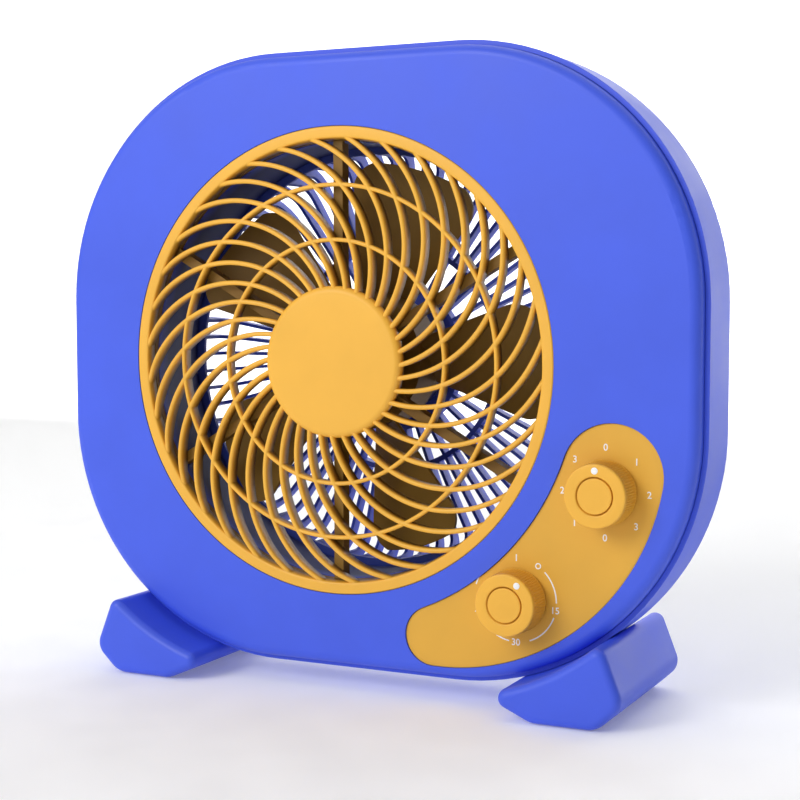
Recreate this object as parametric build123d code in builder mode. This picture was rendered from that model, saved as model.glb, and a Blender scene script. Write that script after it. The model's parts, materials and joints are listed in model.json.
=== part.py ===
"""Box fan: a rounded housing on two feet, a slowly turning front grille and a five-bladed impeller.

Frame: +Z up, the front faces -Y, the origin lies on the floor under the middle of the object's box.
Depths are measured from the front face of the housing towards the back, along +Y.
"""
import os
from math import acos, atan2, cos, degrees, hypot, radians, sin

from build123d import *

os.makedirs("parts", exist_ok=True)

# ---------------------------------------------------------------- driving dimensions (mm)
BODY_WIDTH = 407.0
BODY_HEIGHT = 360.0
BODY_CORNER = 145.0
GROUND_CLEARANCE = 11.5
WALL = 2.5
LEDGE = 2.8                      # rim of the rear shell that shows around the raised front face
FACE_RISE = 9.0                  # how far the front face stands in front of that rim
FACE_FILLET = 6.0
SIDE_DEPTH = 55.0                # front face to the flat back of the rear shell
BACK_FILLET = 7.0
TOTAL_DEPTH = 88.0               # front face to the back of the rear grille and of the feet
FOOT_FRONT = 25.0                # how far the feet stand in front of the face
SEAM = 0.2                       # gap between mouldings that lie against each other
RUNNING = 0.05                   # radial clearance of a shaft in its bearing

RING_OFFSET = -15.6              # fan axis, left of the middle of the housing
RING_RADIUS = 135.0
RING_WIDTH = 6.4
RING_DEPTH = 6.0
RING_GAP = 0.5
RIB_COUNT = 36
RIB_WIDTH = 2.8
RIB_ARC = 70.0                   # each rib is an arc of this radius ...
RIB_ARC_OFFSET = 70.9            # ... about a point this far from the fan axis
RIB_FRONT = -1.5
HOOP_RADII = (102.0, 70.5)
HOOP_WIDTH = 2.4
HUB_RADIUS = 44.0
HUB_FRONT = -3.0

DUCT_RADIUS = 127.0
SHELF_DEPTH = 10.0               # the shelf behind the ring that carries the spider
SPIDER_ARMS = 6
SPIDER_ARM_WIDTH = 6.0
SPIDER_FRONT = 6.9
SPIDER_BACK = 14.5

BLADES = 5
TIP_RADIUS = 117.0
ROTOR_HUB_RADIUS = 42.0
BLADE_FRONT = 31.0
BLADE_BACK = 57.0
BLADE_THICKNESS = 2.2
SHAFT_RADIUS = 4.0

GUARD_SLATS = 72
GUARD_RADIUS = 131.0
GUARD_BEND = 18.0
SLAT_DEPTH = 8.0
SLAT_WIDTH = 2.0
GUARD_HOOP = 70.0
MOTOR_PLATE_RADIUS = 46.0

SPEED_KNOB = (165.0, -66.7)      # from the fan axis
TIMER_KNOB = (114.0, -129.3)
KNOB_RADIUS = 18.0
KNOB_HEIGHT = 17.5
KNOB_CAP_RADIUS = 10.0
CONTROL_SHAFT_RADIUS = 3.0

# ---------------------------------------------------------------- derived places
FACE_Y = (FOOT_FRONT - TOTAL_DEPTH) / 2
BODY_Z = GROUND_CLEARANCE + BODY_HEIGHT / 2
AXIS_X = RING_OFFSET
AXIS_Z = BODY_Z
FAN_AXIS = Axis((AXIS_X, 0, AXIS_Z), (0, 1, 0))
CORNER_X = BODY_WIDTH / 2 - BODY_CORNER
CORNER_Z = BODY_Z - BODY_HEIGHT / 2 + BODY_CORNER
SPEED_X, SPEED_Z = AXIS_X + SPEED_KNOB[0], AXIS_Z + SPEED_KNOB[1]
TIMER_X, TIMER_Z = AXIS_X + TIMER_KNOB[0], AXIS_Z + TIMER_KNOB[1]


def face_plane(depth, x=0.0, z=0.0):
    """Plane parallel to the front face at a depth; its normal points forwards, local y is up."""
    return Plane(origin=(x, FACE_Y + depth, z), x_dir=(1, 0, 0), z_dir=(0, -1, 0))


def turning_plane(x, z, angle=0.0):
    """Half-plane through an axis along Y at (x, z): local x is the radius, local y the depth."""
    c, s = cos(radians(angle)), sin(radians(angle))
    return Plane(origin=(x, FACE_Y, z), x_dir=(c, 0, s), z_dir=(-s, 0, c))


def y_axis(x, z):
    return Axis((x, 0, z), (0, 1, 0))


def fan_polar(radius, angle):
    """Point on the face, relative to the fan axis."""
    return radius * cos(radians(angle)), radius * sin(radians(angle))


def ring_box(inner, outer, front, back):
    """Rectangle in a turning plane, for turned rings and discs."""
    with Locations(((inner + outer) / 2, (front + back) / 2)):
        Rectangle(outer - inner, back - front)


def save(name, part):
    part.label = name
    export_step(part, f"parts/{name}.step")


def screw(part_name, places, front, back, shank, head, head_depth):
    """A group of pan-head screws along Y, head at the back."""
    with BuildPart() as screws:
        with BuildSketch(face_plane(back)):
            with Locations(*places):
                Circle(shank)
        extrude(amount=back - front)
        with BuildSketch(face_plane(back)):
            with Locations(*places):
                Circle(head)
        extrude(amount=-head_depth)
    save(part_name, screws.part)


# ---------------------------------------------------------------- housing outline and control panel
def body_outline(inset):
    with Locations((0, BODY_Z)):
        RectangleRounded(BODY_WIDTH - 2 * inset, BODY_HEIGHT - 2 * inset, BODY_CORNER - inset)


PANEL_INNER = 150.0              # inner edge of the panel, concentric with the ring
PANEL_OUTER = 131.0              # radius of its outer edge
UPPER_LOBE = (28.5, -18.9)       # radius and direction from the fan axis
LOWER_LOBE = (17.0, -67.6)


def past(start, end, distance):
    """Point beyond end, on the line from start through end."""
    length = hypot(end[0] - start[0], end[1] - start[1])
    return tuple(e + (e - s) / length * distance for s, e in zip(start, end))


def from_axis(radius, angle):
    """Point on the face at a radius and direction from the fan axis."""
    x, z = fan_polar(radius, angle)
    return AXIS_X + x, AXIS_Z + z


def around(centre, radius, angle):
    return centre[0] + radius * cos(angle), centre[1] + radius * sin(angle)


def panel_outline(plane, grow):
    """Kidney shape: two round lobes, joined by an arc about the fan axis and by a wide outer arc."""
    fan = (AXIS_X, AXIS_Z)
    (upper_radius, upper_angle), (lower_radius, lower_angle) = UPPER_LOBE, LOWER_LOBE
    upper = from_axis(PANEL_INNER + upper_radius, upper_angle)
    lower = from_axis(PANEL_INNER + lower_radius, lower_angle)
    # centre of the wide outer arc, which touches both lobes from outside
    reach_upper, reach_lower = PANEL_OUTER - upper_radius, PANEL_OUTER - lower_radius
    span = hypot(lower[0] - upper[0], lower[1] - upper[1])
    along = (reach_upper ** 2 - reach_lower ** 2 + span ** 2) / (2 * span)
    across = (reach_upper ** 2 - along ** 2) ** 0.5
    step = ((lower[0] - upper[0]) / span, (lower[1] - upper[1]) / span)
    centre = (upper[0] + along * step[0] + across * step[1], upper[1] + along * step[1] - across * step[0])
    outer_upper = past(centre, upper, upper_radius + grow)
    outer_lower = past(centre, lower, lower_radius + grow)
    inner_upper = past(fan, upper, -upper_radius - grow)
    inner_lower = past(fan, lower, -lower_radius - grow)
    middle = (atan2(outer_upper[1] - centre[1], outer_upper[0] - centre[0])
              + atan2(outer_lower[1] - centre[1], outer_lower[0] - centre[0])) / 2
    with BuildSketch(plane) as outline:
        with BuildLine():
            ThreePointArc(inner_upper, around(upper, upper_radius + grow, radians(90)), outer_upper)
            ThreePointArc(outer_upper, around(centre, PANEL_OUTER + grow, middle), outer_lower)
            ThreePointArc(outer_lower, around(lower, lower_radius + grow, radians(200)), inner_lower)
            ThreePointArc(inner_lower, from_axis(PANEL_INNER - grow, (upper_angle + lower_angle) / 2), inner_upper)
        make_face()
    return outline.sketch


# ---------------------------------------------------------------- front shell
RECESS_RADIUS = RING_RADIUS + RING_GAP
BOSS_RADIUS = 4.5
PILOT_RADIUS = 1.6
PILOT_DEPTH = 30.0
# three corners, the middle of the top, the bottom, and the right side just above the control panel
SHELL_BOSSES = [(-152.0, BODY_Z - 128.0), (-152.0, BODY_Z + 128.0), (152.0, BODY_Z + 128.0)]
SHELL_BOSSES += [(0.0, BODY_Z + 164.0), (-60.0, BODY_Z - 164.0), (188.0, BODY_Z - 10.0)]
SKIRT_INSET = LEDGE + SEAM
SKIRT_BACK = FACE_RISE + 5.0     # the skirt plugs this deep into the rear shell, in front of its foot bosses
SPIDER_SCREW_RADIUS = 131.7
SPIDER_SCREWS = [from_axis(SPIDER_SCREW_RADIUS, 60 * i + 30) for i in range(SPIDER_ARMS)]

panel_opening = panel_outline(face_plane(-1), SEAM)

with BuildPart() as front_shell:
    with BuildSketch(face_plane(0)):
        body_outline(SKIRT_INSET)
    extrude(amount=-SKIRT_BACK)
    fillet(front_shell.faces().sort_by(Axis.Y)[0].edges(), radius=FACE_FILLET)
    with BuildSketch(face_plane(WALL)):
        body_outline(SKIRT_INSET + WALL)
    extrude(amount=-SKIRT_BACK, mode=Mode.SUBTRACT)
    with BuildSketch(turning_plane(AXIS_X, AXIS_Z)):
        ring_box(RECESS_RADIUS, RECESS_RADIUS + WALL, 1.0, SHELF_DEPTH + WALL)
        ring_box(DUCT_RADIUS, RECESS_RADIUS + WALL, SHELF_DEPTH, SHELF_DEPTH + WALL)
        ring_box(DUCT_RADIUS, DUCT_RADIUS + WALL, SHELF_DEPTH, SIDE_DEPTH - WALL - SEAM)
    revolve(axis=FAN_AXIS)
    with BuildSketch(face_plane(-1, AXIS_X, AXIS_Z)):
        Circle(RECESS_RADIUS)
    extrude(amount=-(SHELF_DEPTH + 1), mode=Mode.SUBTRACT)
    with BuildSketch(face_plane(WALL - 0.5)):
        with Locations(*SHELL_BOSSES):
            Circle(BOSS_RADIUS)
    extrude(amount=-(SIDE_DEPTH - 2 * WALL - SEAM + 0.5))
    with BuildSketch(face_plane(SIDE_DEPTH - WALL)):
        with Locations(*SHELL_BOSSES):
            Circle(PILOT_RADIUS)
    extrude(amount=PILOT_DEPTH, mode=Mode.SUBTRACT)
    with BuildSketch(face_plane(SHELF_DEPTH + WALL + 1)):
        with Locations(*SPIDER_SCREWS):
            Circle(PILOT_RADIUS)
    extrude(amount=WALL + 2, mode=Mode.SUBTRACT)
    extrude(panel_opening, amount=-(WALL + 2), mode=Mode.SUBTRACT)
save("front_shell", front_shell.part)

# ---------------------------------------------------------------- rear shell
FOOT_SCREW_X = 133.0
FOOT_SCREW_DEPTHS = (20.0, 42.0)
FOOT_BOSS_BOTTOM = 35.0
FOOT_BOSS_TOP = 54.0
FOOT_PILOT = 1.9
SHELL_SCREW_HOLE = 2.0
SHELL_SCREW_SINK = 3.8
SHELL_SINK_DEPTH = 1.2
GUARD_PILOT = 1.5
GUARD_OPENING = DUCT_RADIUS + WALL + 0.6
INLET_X, INLET_Z = 152.0, BODY_Z - 84.0
INLET_RADIUS = 6.0
GUARD_FLANGE = 141.0
GUARD_SCREW_RADIUS = 136.5
GUARD_SCREWS = [from_axis(GUARD_SCREW_RADIUS, 60 * i) for i in range(6)]

with BuildPart() as rear_shell:
    with BuildSketch(face_plane(FACE_RISE)):
        body_outline(0)
    extrude(amount=-(SIDE_DEPTH - FACE_RISE))
    fillet(rear_shell.faces().sort_by(Axis.Y)[-1].edges(), radius=BACK_FILLET)
    with BuildSketch(face_plane(FACE_RISE)):
        body_outline(LEDGE)
    extrude(amount=-(SIDE_DEPTH - FACE_RISE - BACK_FILLET), mode=Mode.SUBTRACT)
    with BuildSketch(face_plane(SIDE_DEPTH - BACK_FILLET)):
        body_outline(LEDGE + BACK_FILLET - WALL)
    extrude(amount=-(BACK_FILLET - WALL), mode=Mode.SUBTRACT)
    for side in (-1, 1):
        for depth in FOOT_SCREW_DEPTHS:
            with BuildSketch(Plane.XY.offset(FOOT_BOSS_BOTTOM)):
                with Locations((side * FOOT_SCREW_X, FACE_Y + depth)):
                    Circle(BOSS_RADIUS)
            extrude(amount=FOOT_BOSS_TOP - FOOT_BOSS_BOTTOM)
            with BuildSketch(Plane.XY.offset(GROUND_CLEARANCE)):
                with Locations((side * FOOT_SCREW_X, FACE_Y + depth)):
                    Circle(FOOT_PILOT)
            extrude(amount=FOOT_BOSS_TOP - GROUND_CLEARANCE - 3, mode=Mode.SUBTRACT)
    with BuildSketch(face_plane(SIDE_DEPTH + 1)):
        with Locations((AXIS_X, AXIS_Z)):
            Circle(GUARD_OPENING)
        with Locations((INLET_X, INLET_Z)):
            Circle(INLET_RADIUS + SEAM)
        with Locations(*SHELL_BOSSES):
            Circle(SHELL_SCREW_HOLE)
        with Locations(*GUARD_SCREWS):
            Circle(GUARD_PILOT)
    extrude(amount=WALL + 2, mode=Mode.SUBTRACT)
    with BuildSketch(face_plane(SIDE_DEPTH)):
        with Locations(*SHELL_BOSSES):
            Circle(SHELL_SCREW_SINK)
    extrude(amount=SHELL_SINK_DEPTH, mode=Mode.SUBTRACT)
save("rear_shell", rear_shell.part)

screw("shell_screws", SHELL_BOSSES, 32.0, SIDE_DEPTH - SHELL_SINK_DEPTH, 1.5, 3.5, SHELL_SINK_DEPTH)

with BuildPart() as cord_inlet:
    with BuildSketch(turning_plane(INLET_X, INLET_Z)):
        ring_box(3.6, INLET_RADIUS, SIDE_DEPTH - WALL - 1.6, SIDE_DEPTH + 2.0)
        ring_box(3.6, INLET_RADIUS + 2.2, SIDE_DEPTH + SEAM, SIDE_DEPTH + 2.0)
        ring_box(3.6, INLET_RADIUS + 1.4, SIDE_DEPTH - WALL - 1.6, SIDE_DEPTH - WALL - SEAM)
    revolve(axis=y_axis(INLET_X, INLET_Z))
save("cord_inlet", cord_inlet.part)

# ---------------------------------------------------------------- rear grille
GUARD_FRONT = SIDE_DEPTH + SEAM
MOTOR_PLATE_FRONT = TOTAL_DEPTH - 5.0
MOTOR_SCREW_RADIUS = 31.0
MOTOR_SCREWS = [from_axis(MOTOR_SCREW_RADIUS, 90 * i + 45) for i in range(4)]
MOTOR_SCREW_HOLE = 2.0
MOTOR_SCREW_SINK = 4.0
FLANGE_BACK = GUARD_FRONT + WALL
GUARD_BEND_START = TOTAL_DEPTH - GUARD_BEND
GUARD_INSIDE = GUARD_RADIUS - SLAT_DEPTH
GUARD_EDGE = GUARD_RADIUS - GUARD_BEND
HOOP_HALF = 1.5

with BuildPart() as rear_grille:
    # all slats, the hoop and the motor plate seen from the front, through the whole depth
    with BuildSketch(face_plane(TOTAL_DEPTH, AXIS_X, AXIS_Z)):
        for first, reach in ((0, MOTOR_PLATE_RADIUS - 2), (360 / GUARD_SLATS, GUARD_HOOP)):
            with PolarLocations(0, GUARD_SLATS // 2, start_angle=first):
                with Locations(((GUARD_RADIUS + reach) / 2 + 1, 0)):
                    Rectangle(GUARD_RADIUS - reach, SLAT_WIDTH)
        with BuildSketch(mode=Mode.PRIVATE) as guard_hoop:
            Circle(GUARD_HOOP + HOOP_HALF)
            Circle(GUARD_HOOP - HOOP_HALF, mode=Mode.SUBTRACT)
        add(guard_hoop.sketch)
        Circle(MOTOR_PLATE_RADIUS)
    extrude(amount=TOTAL_DEPTH - FLANGE_BACK)
    # kept only where a turned basket wall stands: along the axis at the rim, then bent in to the middle
    with BuildSketch(turning_plane(AXIS_X, AXIS_Z)):
        with BuildLine():
            Polyline((GUARD_INSIDE, GUARD_BEND_START), (GUARD_INSIDE, FLANGE_BACK), (GUARD_RADIUS, FLANGE_BACK),
                     (GUARD_RADIUS, GUARD_BEND_START))
            RadiusArc((GUARD_RADIUS, GUARD_BEND_START), (GUARD_EDGE, TOTAL_DEPTH), -GUARD_BEND)
            Polyline((GUARD_EDGE, TOTAL_DEPTH), (0, TOTAL_DEPTH), (0, TOTAL_DEPTH - SLAT_DEPTH),
                     (GUARD_EDGE, TOTAL_DEPTH - SLAT_DEPTH))
            RadiusArc((GUARD_EDGE, TOTAL_DEPTH - SLAT_DEPTH), (GUARD_INSIDE, GUARD_BEND_START),
                      GUARD_BEND - SLAT_DEPTH)
        make_face()
    revolve(axis=FAN_AXIS, mode=Mode.INTERSECT)
    with BuildSketch(face_plane(MOTOR_PLATE_FRONT, AXIS_X, AXIS_Z)):
        Circle(MOTOR_PLATE_RADIUS - WALL)
    extrude(amount=SLAT_DEPTH, mode=Mode.SUBTRACT)
    with BuildSketch(face_plane(FLANGE_BACK, AXIS_X, AXIS_Z)):
        Circle(GUARD_FLANGE)
        Circle(GUARD_INSIDE, mode=Mode.SUBTRACT)
    extrude(amount=WALL)
    with BuildSketch(face_plane(FLANGE_BACK + 1)):
        with Locations(*GUARD_SCREWS):
            Circle(2.0)
    extrude(amount=WALL + 2, mode=Mode.SUBTRACT)
    with BuildSketch(face_plane(TOTAL_DEPTH)):
        with Locations(*MOTOR_SCREWS):
            Circle(MOTOR_SCREW_HOLE)
    extrude(amount=6, mode=Mode.SUBTRACT)
    with BuildSketch(face_plane(TOTAL_DEPTH)):
        with Locations(*MOTOR_SCREWS):
            Circle(MOTOR_SCREW_SINK)
    extrude(amount=2.6, mode=Mode.SUBTRACT)
save("rear_grille", rear_grille.part)

screw("rear_grille_screws", GUARD_SCREWS, SIDE_DEPTH - 6.0, GUARD_FRONT + WALL, 1.4, 3.0, 1.6)

# ---------------------------------------------------------------- front grille
HUB_PLATE_FRONT = 3.2
HUB_PLATE_BACK = RING_DEPTH
GRILLE_BOSS_RADIUS = 9.0
GRILLE_BOSS_FRONT = 1.6
GRILLE_BOSS_BACK = 6.6
GRILLE_BOSS_WALL = 1.6           # left between the shaft's socket and the head of its screw
GRILLE_SHAFT_RADIUS = 3.5


def rib_point(radius, side):
    """Point of a rib's edge at a radius from the fan axis; side is +1 or -1 for its two edges."""
    edge_arc = RIB_ARC + side * RIB_WIDTH / 2
    swing = acos((radius ** 2 + RIB_ARC_OFFSET ** 2 - edge_arc ** 2) / (2 * radius * RIB_ARC_OFFSET))
    return radius * cos(swing), -radius * sin(swing)


RIB_ENDS = (HUB_RADIUS - 3, (HUB_RADIUS + RING_RADIUS) / 2, RING_RADIUS - RING_WIDTH / 2)

with BuildSketch() as rib_outline:
    with BuildLine():
        outer_edge = ThreePointArc(*[rib_point(radius, 1) for radius in RIB_ENDS])
        inner_edge = ThreePointArc(*[rib_point(radius, -1) for radius in RIB_ENDS])
        Line(outer_edge @ 0, inner_edge @ 0)
        Line(outer_edge @ 1, inner_edge @ 1)
    make_face()

with BuildPart() as front_grille:
    with BuildSketch(face_plane(RING_DEPTH, AXIS_X, AXIS_Z)):
        for hoop in HOOP_RADII:
            Circle(hoop + HOOP_WIDTH / 2)
            Circle(hoop - HOOP_WIDTH / 2, mode=Mode.SUBTRACT)
        with PolarLocations(0, RIB_COUNT):
            add(rib_outline.sketch)
    extrude(amount=RING_DEPTH - RIB_FRONT)
    with BuildSketch(turning_plane(AXIS_X, AXIS_Z)):
        ring_box(RING_RADIUS - RING_WIDTH, RING_RADIUS, 0, RING_DEPTH)
        ring_box(0, HUB_RADIUS - 1, HUB_PLATE_FRONT, HUB_PLATE_BACK)
    revolve(axis=FAN_AXIS)
    with BuildSketch(face_plane(RIB_FRONT - 1, AXIS_X, AXIS_Z)):
        Circle(HUB_RADIUS + SEAM)
    extrude(amount=-(HUB_PLATE_FRONT - RIB_FRONT + 1), mode=Mode.SUBTRACT)
    with BuildSketch(face_plane(GRILLE_BOSS_BACK, AXIS_X, AXIS_Z)):
        Circle(GRILLE_BOSS_RADIUS)
    extrude(amount=GRILLE_BOSS_BACK - GRILLE_BOSS_FRONT)
    with BuildSketch(face_plane(GRILLE_BOSS_BACK, AXIS_X, AXIS_Z)):
        Circle(GRILLE_SHAFT_RADIUS)
    extrude(amount=GRILLE_BOSS_BACK - GRILLE_BOSS_FRONT - GRILLE_BOSS_WALL, mode=Mode.SUBTRACT)
    with BuildSketch(face_plane(GRILLE_BOSS_BACK, AXIS_X, AXIS_Z)):
        Circle(1.6)
    extrude(amount=GRILLE_BOSS_BACK, mode=Mode.SUBTRACT)
save("front_grille", front_grille.part)

with BuildPart() as hub_cap:
    with BuildSketch(turning_plane(AXIS_X, AXIS_Z)):
        ring_box(0, HUB_RADIUS, HUB_FRONT, HUB_PLATE_FRONT - SEAM)
    revolve(axis=FAN_AXIS)
    fillet(hub_cap.faces().sort_by(Axis.Y)[0].edges(), radius=4.0)
    with BuildSketch(turning_plane(AXIS_X, AXIS_Z)):
        ring_box(0, HUB_RADIUS - 2.5, HUB_FRONT + WALL, HUB_PLATE_FRONT)
    revolve(axis=FAN_AXIS, mode=Mode.SUBTRACT)
save("hub_cap", hub_cap.part)

GRILLE_MOTOR_FRONT = SHELF_DEPTH + 2.0
GRILLE_MOTOR_DEPTH = 14.0
GRILLE_MOTOR_RADIUS = 25.0
GRILLE_SHAFT_FRONT = GRILLE_BOSS_FRONT + GRILLE_BOSS_WALL + SEAM

with BuildPart() as grille_shaft:
    with BuildSketch(face_plane(GRILLE_MOTOR_FRONT + GRILLE_MOTOR_DEPTH - 2, AXIS_X, AXIS_Z)):
        Circle(GRILLE_SHAFT_RADIUS - RUNNING)
    extrude(amount=GRILLE_MOTOR_FRONT + GRILLE_MOTOR_DEPTH - 2 - GRILLE_SHAFT_FRONT)
    with BuildSketch(face_plane(GRILLE_SHAFT_FRONT, AXIS_X, AXIS_Z)):
        Circle(1.3)
    extrude(amount=-8, mode=Mode.SUBTRACT)
save("grille_shaft", grille_shaft.part)

with BuildPart() as grille_screw:
    with BuildSketch(face_plane(GRILLE_BOSS_FRONT, AXIS_X, AXIS_Z)):
        Circle(3.0)
    extrude(amount=1.8)
    with BuildSketch(face_plane(GRILLE_BOSS_FRONT, AXIS_X, AXIS_Z)):
        Circle(1.25)
    extrude(amount=-9)
save("grille_screw", grille_screw.part)

# ---------------------------------------------------------------- spider and its gear motor
CUP_RADIUS = 30.0
CUP_FRONT = 9.6
CUP_BACK = GRILLE_MOTOR_FRONT + GRILLE_MOTOR_DEPTH
GRILLE_MOTOR_EAR = 22.0

with BuildPart() as spider:
    with BuildSketch(turning_plane(AXIS_X, AXIS_Z)):
        ring_box(DUCT_RADIUS + 0.3, RING_RADIUS - 1.0, SPIDER_FRONT, SHELF_DEPTH - SEAM)
        ring_box(GRILLE_SHAFT_RADIUS + 1.0, CUP_RADIUS, CUP_FRONT, GRILLE_MOTOR_FRONT - SEAM)
        ring_box(CUP_RADIUS - WALL, CUP_RADIUS, CUP_FRONT, CUP_BACK)
    revolve(axis=FAN_AXIS)
    with BuildSketch(face_plane(SPIDER_FRONT, AXIS_X, AXIS_Z)):
        with PolarLocations(0, SPIDER_ARMS, start_angle=30):
            with Locations(((CUP_RADIUS + DUCT_RADIUS) / 2, 0)):
                Rectangle(DUCT_RADIUS - CUP_RADIUS + 2.0, SPIDER_ARM_WIDTH)
    extrude(amount=-(SHELF_DEPTH - SEAM - SPIDER_FRONT))
    with BuildSketch(face_plane(SHELF_DEPTH - SEAM, AXIS_X, AXIS_Z)):
        with PolarLocations(0, SPIDER_ARMS, start_angle=30):
            with Locations(((CUP_RADIUS + DUCT_RADIUS) / 2 - 1.1, 0)):
                Rectangle(DUCT_RADIUS - CUP_RADIUS, SPIDER_ARM_WIDTH)
    extrude(amount=-(SPIDER_BACK - SHELF_DEPTH + SEAM))
    with BuildSketch(face_plane(SHELF_DEPTH)):
        with Locations(*SPIDER_SCREWS):
            Circle(1.3)
    extrude(amount=2.4, mode=Mode.SUBTRACT)
save("spider", spider.part)

screw("spider_screws", SPIDER_SCREWS, SHELF_DEPTH - 1.9, SHELF_DEPTH + WALL, 1.2, 2.0, 1.4)

with BuildPart() as grille_motor:
    with BuildSketch(turning_plane(AXIS_X, AXIS_Z)):
        ring_box(GRILLE_SHAFT_RADIUS, GRILLE_MOTOR_RADIUS, GRILLE_MOTOR_FRONT, CUP_BACK)
        ring_box(0, GRILLE_SHAFT_RADIUS + 1, CUP_BACK - 1.5, CUP_BACK)
    revolve(axis=FAN_AXIS)
    with BuildSketch(face_plane(GRILLE_MOTOR_FRONT, AXIS_X, AXIS_Z)):
        with PolarLocations(GRILLE_MOTOR_EAR, 2, start_angle=90):
            Circle(1.5)
    extrude(amount=-6, mode=Mode.SUBTRACT)
save("grille_motor", grille_motor.part)

# ---------------------------------------------------------------- impeller
HUB_FACE = 29.5
HUB_WELL = 36.0
HUB_WELL_RADIUS = 16.0
HUB_SKIRT_BACK = 57.5
HUB_BOSS_BACK = 44.0
BLADE_ROOT = ROTOR_HUB_RADIUS - 1.5
BLADE_MIDDLE = (BLADE_FRONT + BLADE_BACK) / 2
BLADE_HALF_DEPTH = (BLADE_BACK - BLADE_FRONT) / 2
ROOT_HALF_WIDTH = 13.0
TIP_HALF_WIDTH = 41.0
TIP_ROUNDING = 17.0


def blade_half_width(radius):
    share = (radius - BLADE_ROOT) / (TIP_RADIUS - BLADE_ROOT)
    return ROOT_HALF_WIDTH + share * (TIP_HALF_WIDTH - ROOT_HALF_WIDTH)


def make_blade(angle):
    """Twisted paddle: flat sections at growing radii, trimmed to a rounded outline seen from the front."""
    c, s = cos(radians(angle)), sin(radians(angle))
    with BuildPart() as blade:
        for radius in (BLADE_ROOT, 62.0, 88.0, TIP_RADIUS + 1):
            half_width = blade_half_width(radius)
            pitch = atan2(BLADE_HALF_DEPTH, half_width)
            chord = 2 * hypot(half_width, BLADE_HALF_DEPTH)
            section = Plane(origin=(AXIS_X + radius * c, FACE_Y + BLADE_MIDDLE, AXIS_Z + radius * s),
                            x_dir=(-s, 0, c), z_dir=(c, 0, s))
            with BuildSketch(section):
                Rectangle(chord, BLADE_THICKNESS, rotation=degrees(pitch))
        loft()
        front = Plane(origin=(AXIS_X, FACE_Y + BLADE_FRONT - 5, AXIS_Z), x_dir=(c, 0, s), z_dir=(0, -1, 0))
        with BuildSketch(front) as outline:
            Polygon((BLADE_ROOT - 1, -ROOT_HALF_WIDTH), (TIP_RADIUS, -TIP_HALF_WIDTH), (TIP_RADIUS, TIP_HALF_WIDTH),
                    (BLADE_ROOT - 1, ROOT_HALF_WIDTH), align=None)
            fillet(outline.vertices().group_by(Axis.X)[-1], radius=TIP_ROUNDING)
            Circle(TIP_RADIUS, mode=Mode.INTERSECT)
        extrude(amount=-(BLADE_BACK - BLADE_FRONT + 10), mode=Mode.INTERSECT)
    return blade.part


blades = [make_blade(360 / BLADES * i) for i in range(BLADES)]

with BuildPart() as impeller:
    with BuildSketch(turning_plane(AXIS_X, AXIS_Z)):
        ring_box(HUB_WELL_RADIUS, ROTOR_HUB_RADIUS, HUB_FACE, HUB_FACE + WALL)
        ring_box(HUB_WELL_RADIUS, HUB_WELL_RADIUS + WALL, HUB_FACE, HUB_WELL + WALL)
        ring_box(SHAFT_RADIUS, HUB_WELL_RADIUS + WALL, HUB_WELL, HUB_WELL + WALL)
        ring_box(SHAFT_RADIUS, 9.0, HUB_WELL, HUB_BOSS_BACK)
        ring_box(ROTOR_HUB_RADIUS - WALL, ROTOR_HUB_RADIUS, HUB_FACE, HUB_SKIRT_BACK)
    revolve(axis=FAN_AXIS)
    add(blades)
save("impeller", impeller.part)

with BuildPart() as impeller_nut:
    with BuildSketch(face_plane(HUB_WELL - SEAM, AXIS_X, AXIS_Z)):
        RegularPolygon(11.0, 8)
        Circle(SHAFT_RADIUS, mode=Mode.SUBTRACT)
    extrude(amount=5.0)
save("impeller_nut", impeller_nut.part)

# ---------------------------------------------------------------- main motor
SHAFT_FRONT = 31.2
SHAFT_BACK = 81.5
BELL_RADIUS = 35.5
BELL_FRONT = 47.0
BELL_WALL = 2.0
STATOR_RADIUS = 36.5
STATOR_FRONT = 57.0
STATOR_BACK = 70.0
STATOR_BORE = 20.6
MOTOR_BACK = MOTOR_PLATE_FRONT - SEAM
BEARING_RADIUS = 7.0
BEARING_HOUSING = 10.0
FRONT_BEARING = (46.0, 54.0)
REAR_BEARING = (73.5, 81.5)

with BuildPart() as motor_shaft:
    with BuildSketch(face_plane(SHAFT_BACK, AXIS_X, AXIS_Z)):
        Circle(SHAFT_RADIUS)
    extrude(amount=SHAFT_BACK - SHAFT_FRONT)
    chamfer(motor_shaft.faces().sort_by(Axis.Y)[0].edges(), length=0.8)
save("motor_shaft", motor_shaft.part)

with BuildPart() as rotor_core:
    with BuildSketch(turning_plane(AXIS_X, AXIS_Z)):
        ring_box(SHAFT_RADIUS, STATOR_BORE - 0.6, STATOR_FRONT - 1.5, STATOR_BACK + 1.5)
    revolve(axis=FAN_AXIS)
save("rotor_core", rotor_core.part)

for bearing_name, (bearing_front, bearing_back) in (("front_bearing", FRONT_BEARING), ("rear_bearing", REAR_BEARING)):
    with BuildPart() as bearing:
        with BuildSketch(turning_plane(AXIS_X, AXIS_Z)):
            ring_box(SHAFT_RADIUS + RUNNING, BEARING_RADIUS, bearing_front, bearing_back)
        revolve(axis=FAN_AXIS)
    save(bearing_name, bearing.part)

with BuildPart() as stator_core:
    with BuildSketch(turning_plane(AXIS_X, AXIS_Z)):
        ring_box(STATOR_BORE, STATOR_RADIUS, STATOR_FRONT, STATOR_BACK)
    revolve(axis=FAN_AXIS)
    with BuildSketch(face_plane(STATOR_FRONT)):
        with Locations(*MOTOR_SCREWS):
            Circle(MOTOR_SCREW_HOLE)
    extrude(amount=-(STATOR_BACK - STATOR_FRONT), mode=Mode.SUBTRACT)
save("stator_core", stator_core.part)

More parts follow.
